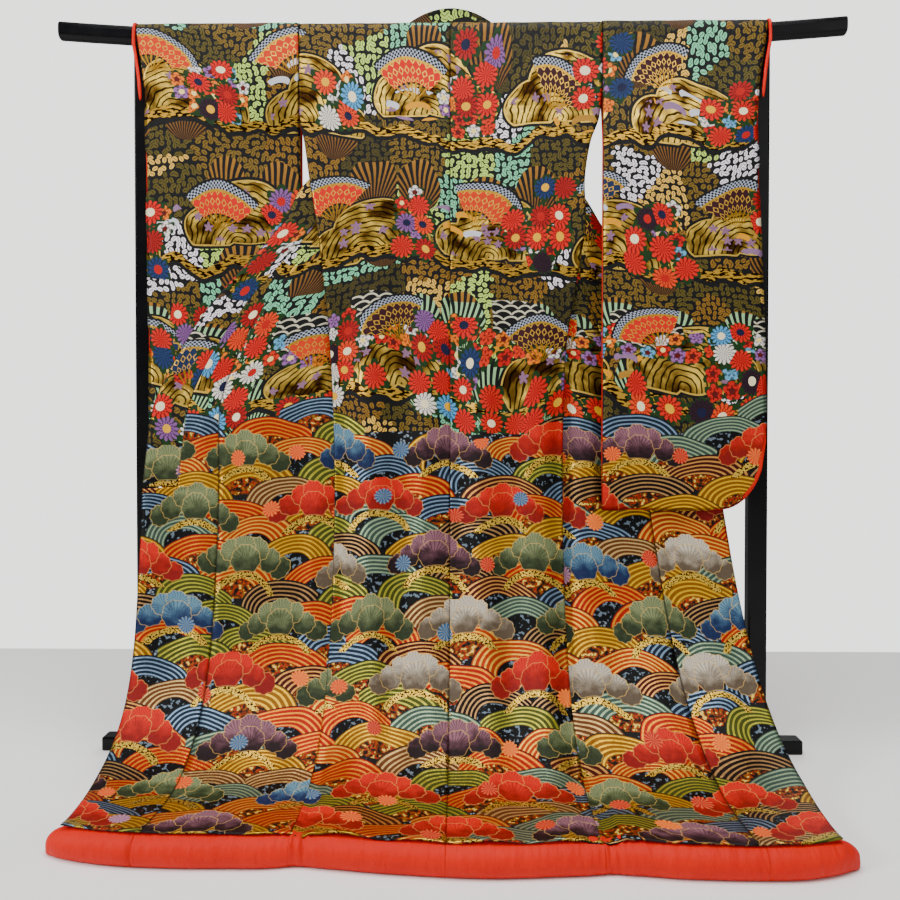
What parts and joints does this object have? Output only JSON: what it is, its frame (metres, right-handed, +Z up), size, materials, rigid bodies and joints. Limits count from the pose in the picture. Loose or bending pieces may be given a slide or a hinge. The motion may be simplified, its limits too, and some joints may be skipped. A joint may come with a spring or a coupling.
{
  "type": "uchikake wedding kimono on a kimono stand",
  "caption": "Formal padded-hem outer kimono of brocade, hung with its back in view over the rod of a black lacquered stand, its train spread on the floor.",
  "frame": {"origin": "on the floor, under the middle of the whole model's box", "axes": "+Z up, +X along the rod towards the right sleeve as seen, -Y towards the viewer of the garment's back"},
  "size_m": [1.696, 0.6724, 1.6122],
  "materials": {
    "brocade": "silk brocade woven with flat gold thread",
    "red_silk": "plain orange-red silk over padding",
    "lacquer": "glossy black lacquer"
  },
  "bodies": {
    "root": {"back_left": "brocade", "back_right": "brocade", "front_left": "brocade", "front_right": "brocade", "okumi_left": "brocade", "okumi_right": "brocade", "collar_left": "brocade", "collar_right": "brocade", "collar_nape": "brocade", "sleeve_left": "brocade", "sleeve_right": "brocade", "cuff_left": "red_silk", "cuff_right": "red_silk", "hem_roll_back_left": "red_silk", "hem_roll_back_right": "red_silk", "hem_roll_front_left": "red_silk", "hem_roll_front_right": "red_silk", "hem_roll_okumi_left": "red_silk", "hem_roll_okumi_right": "red_silk", "rod": "lacquer", "post_left": "lacquer", "post_right": "lacquer", "base_rail": "lacquer", "rail_end_left": "lacquer", "rail_end_right": "lacquer", "foot_left": "lacquer", "foot_right": "lacquer"}
  },
  "joints": []
}
